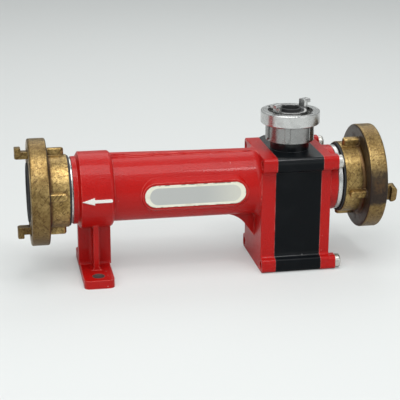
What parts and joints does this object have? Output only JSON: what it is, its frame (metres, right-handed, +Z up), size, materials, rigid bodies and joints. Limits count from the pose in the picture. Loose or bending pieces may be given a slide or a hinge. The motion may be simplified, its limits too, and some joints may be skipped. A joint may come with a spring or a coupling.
{
  "type": "inline foam proportioner",
  "caption": "Inline foam proportioner: red cast water tube on a foot, black valve block between bolted flanges, brass lug couplings at both ends and a small foam coupling on top.",
  "frame": {"origin": "on the floor, at the centre of the foot's base", "axes": "+X along the water way towards the inlet, +Y to the back where the dosing knob is, +Z up"},
  "size_m": [0.349, 0.1071, 0.1556],
  "materials": {
    "red_paint": "gloss paint on a casting, slight orange peel, small chips and white scuffs",
    "black_coat": "smooth black coating, glossy at a grazing angle",
    "cast_brass": "worn cast brass with brown patina and bright rubbed edges",
    "turned_brass": "turned brass",
    "bare_aluminium": "turned aluminium, satin, fine scratches",
    "turned_aluminium": "fine turned aluminium",
    "black_rubber": "matt black rubber",
    "label_print": "satin printed label plate, bare of words",
    "bright_steel": "zinc plated steel",
    "black_plastic": "moulded black plastic with plain numbers"
  },
  "bodies": {
    "housing": {"diffuser_housing": "red_paint", "inlet_housing": "red_paint", "valve_block": "black_coat", "outlet_coupling": "cast_brass", "inlet_coupling": "cast_brass", "jet_nozzle": "turned_brass", "foam_coupling": "bare_aluminium", "outlet_nipple": "bare_aluminium", "inlet_nipple": "bare_aluminium", "diffuser": "turned_aluminium", "outlet_joint_ring": "black_rubber", "inlet_joint_ring": "black_rubber", "foam_joint_ring": "black_rubber", "outlet_seal": "black_rubber", "inlet_seal": "black_rubber", "foam_seal": "black_rubber", "diffuser_o_ring": "black_rubber", "jet_nozzle_o_ring": "black_rubber", "outlet_face_ring": "black_rubber", "inlet_face_ring": "black_rubber", "label_plate": "label_print", "clamp_screws": "bright_steel", "ball_stop": "turned_brass", "check_valve_seat": "turned_brass", "metering_bonnet": "bare_aluminium", "bonnet_screws": "bright_steel"},
    "dosing": {"dosing_knob": "black_plastic", "metering_plug": "turned_brass", "knob_screw": "bright_steel", "plug_o_ring": "black_rubber"},
    "ball": {"check_ball": "bright_steel"}
  },
  "joints": [
    {"name": "dosing_turn", "type": "hinge", "parent": "housing", "child": "dosing", "pos_m": [0.1854, 0.05, 0.08045], "axis": [0, 1, 0], "range_deg": [0, 270]},
    {"name": "ball_lift", "type": "slide", "parent": "housing", "child": "ball", "axis": [0, 0, 1], "range_m": [0, 0.0034]}
  ]
}
